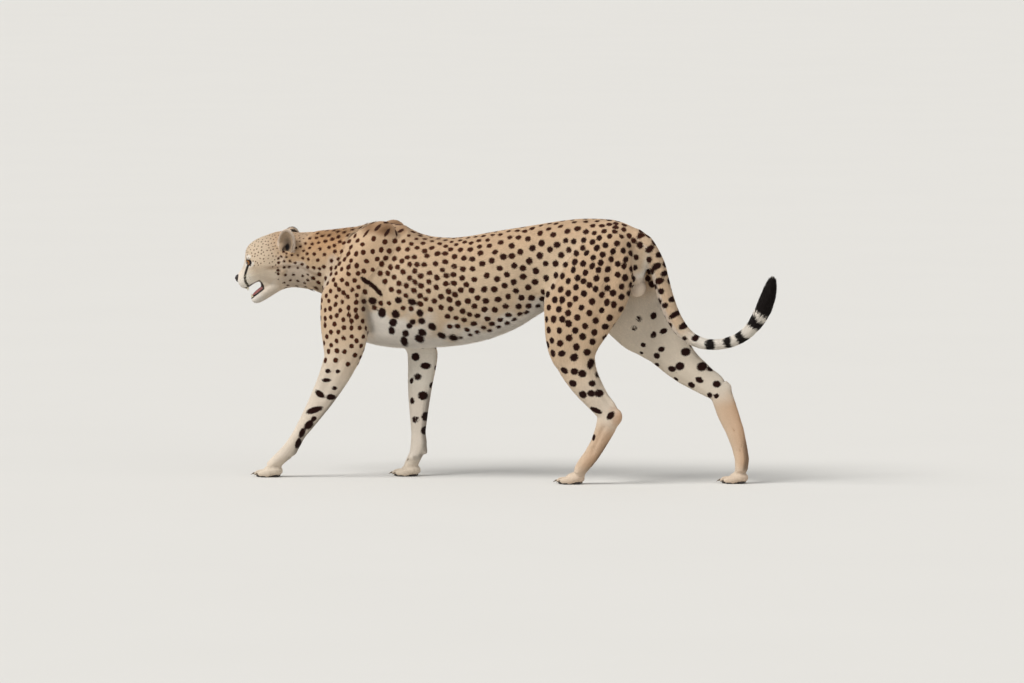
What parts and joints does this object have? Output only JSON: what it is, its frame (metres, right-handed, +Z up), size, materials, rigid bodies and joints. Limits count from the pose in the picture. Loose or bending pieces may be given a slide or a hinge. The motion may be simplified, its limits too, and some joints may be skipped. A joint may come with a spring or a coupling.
{
  "type": "cheetah museum model",
  "caption": "Life-size still model of a walking male cheetah, head low with the mouth a little open, spotted coat and a ringed tail curving up at its end.",
  "frame": {"origin": "on the floor, under the middle of the whole model's length and width", "axes": "+Z up, +X towards the tail so the nose points to -X, +Y to the animal's right side"},
  "size_m": [1.6976, 0.2378, 0.8047],
  "materials": {
    "body_coat": "matte short fur, sandy gold with solid dark spots, paler below",
    "face_coat": "matte short fur with a dark tear line and a pale muzzle and chin",
    "ear_coat": "matte short fur, dark patch behind, pale rim",
    "nose_skin": "satin",
    "eye": "gloss"
  },
  "bodies": {
    "root": {"head": "face_coat", "lower_jaw": "face_coat", "neck": "body_coat", "chest": "body_coat", "belly": "body_coat", "rump": "body_coat", "tail_root": "body_coat", "tail_middle": "body_coat", "tail_end": "body_coat", "tail_tip": "body_coat", "front_left_shoulder": "body_coat", "front_left_forearm": "body_coat", "front_left_paw": "body_coat", "hind_left_thigh": "body_coat", "hind_left_shank": "body_coat", "hind_left_hock": "body_coat", "hind_left_paw": "body_coat", "front_right_shoulder": "body_coat", "front_right_forearm": "body_coat", "front_right_paw": "body_coat", "hind_right_thigh": "body_coat", "hind_right_shank": "body_coat", "hind_right_hock": "body_coat", "hind_right_paw": "body_coat", "ear_left": "ear_coat", "eye_left": "eye", "ear_right": "ear_coat", "eye_right": "eye", "nose": "nose_skin"}
  },
  "joints": []
}
